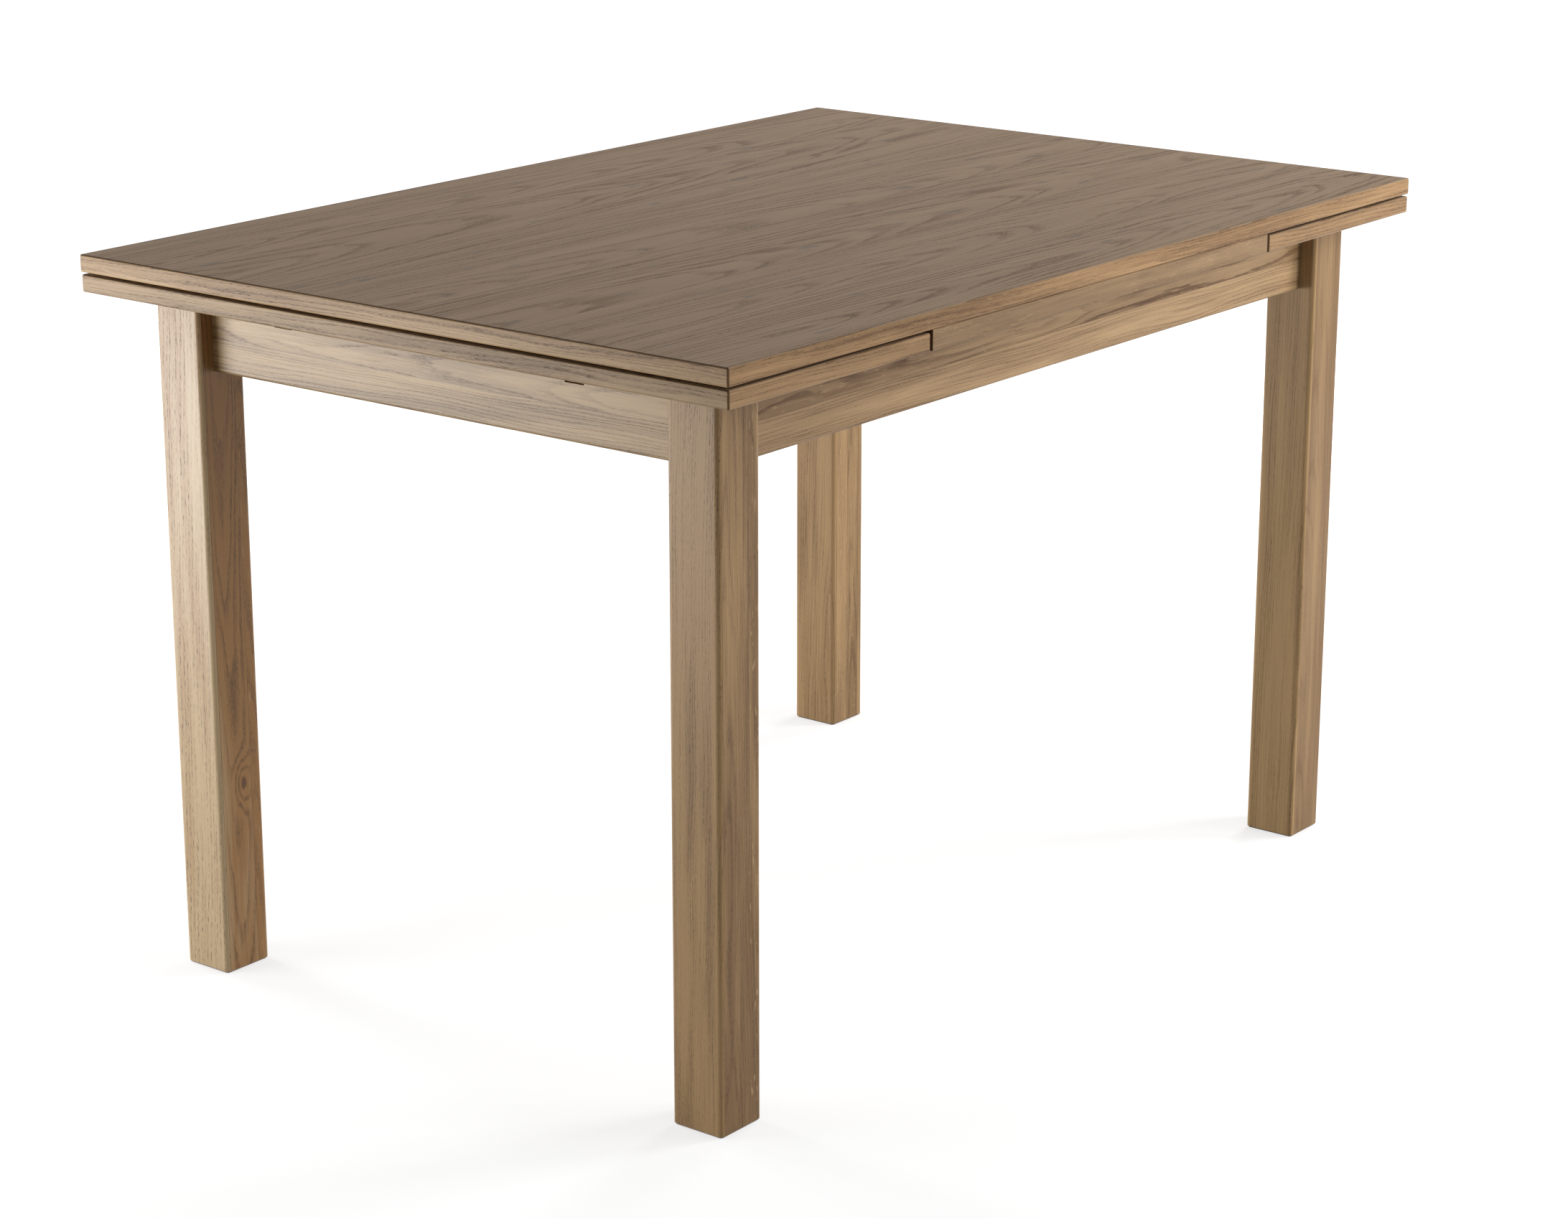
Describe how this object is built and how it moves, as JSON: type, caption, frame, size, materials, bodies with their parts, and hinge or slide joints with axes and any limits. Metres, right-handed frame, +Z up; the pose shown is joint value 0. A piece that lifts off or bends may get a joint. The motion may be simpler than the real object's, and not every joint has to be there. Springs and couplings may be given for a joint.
{
  "type": "draw-leaf table",
  "caption": "Oak draw-leaf dining table: square legs, set-back aprons, a loose veneered top on a fixed centre board and a pull-out leaf on lopers under each short end.",
  "frame": {"origin": "on the floor under the middle of the closed table", "axes": "+X along the length, towards the right leaf; +Y to the back long side; +Z up"},
  "size_m": [1.2, 0.825, 0.755],
  "materials": {
    "oak_veneer": "smoked oak veneer, matt lacquer",
    "oak_lipping": "solid oak lipping, matt lacquer",
    "solid_oak": "glued-up solid oak, matt lacquer",
    "board_core": "raw particle board",
    "beech": "planed beech",
    "zinc_steel": "zinc-plated steel",
    "felt": "pressed wool felt"
  },
  "bodies": {
    "frame": {"apron_back": "solid_oak", "apron_front": "solid_oak", "apron_left": "solid_oak", "apron_right": "solid_oak", "block_screws": "zinc_steel", "bolt_nuts": "zinc_steel", "bolt_washers": "zinc_steel", "centre_core": "board_core", "centre_lipping_back": "oak_lipping", "centre_lipping_front": "oak_lipping", "corner_block_left_back": "beech", "corner_block_left_front": "beech", "corner_block_right_back": "beech", "corner_block_right_front": "beech", "cross_rail_left": "beech", "cross_rail_right": "beech", "hanger_bolts": "zinc_steel", "leg_left_back": "solid_oak", "leg_left_front": "solid_oak", "leg_right_back": "solid_oak", "leg_right_front": "solid_oak", "rail_dowels": "beech", "rail_screws": "zinc_steel"},
    "main_top": {"top_core": "board_core", "top_veneer": "oak_veneer", "guide_pegs": "beech", "peg_washers": "zinc_steel", "peg_screws": "zinc_steel", "top_felts": "felt", "top_lipping_front": "oak_lipping", "top_lipping_back": "oak_lipping", "top_lipping_left": "oak_lipping", "top_lipping_right": "oak_lipping"},
    "left_leaf": {"leaf_left_core": "board_core", "leaf_left_veneer": "oak_veneer", "leaf_left_lipping_front": "oak_lipping", "leaf_left_lipping_back": "oak_lipping", "leaf_left_lipping_left": "oak_lipping", "leaf_left_lipping_right": "oak_lipping", "loper_left_front": "beech", "loper_left_back": "beech", "loper_screws_left": "zinc_steel", "loper_stops_left": "beech"},
    "right_leaf": {"leaf_right_core": "board_core", "leaf_right_veneer": "oak_veneer", "leaf_right_lipping_front": "oak_lipping", "leaf_right_lipping_back": "oak_lipping", "leaf_right_lipping_left": "oak_lipping", "leaf_right_lipping_right": "oak_lipping", "loper_right_front": "beech", "loper_right_back": "beech", "loper_screws_right": "zinc_steel", "loper_stops_right": "beech"}
  },
  "joints": [
    {"name": "left_leaf_draw", "type": "slide", "parent": "frame", "child": "left_leaf", "axis": [-1, 0, 0], "range_m": [0, 0.3]},
    {"name": "right_leaf_draw", "type": "slide", "parent": "frame", "child": "right_leaf", "axis": [1, 0, 0], "range_m": [0, 0.3]},
    {"name": "top_lift", "type": "slide", "parent": "frame", "child": "main_top", "axis": [0, 0, 1], "range_m": [0, 0.0335]}
  ]
}
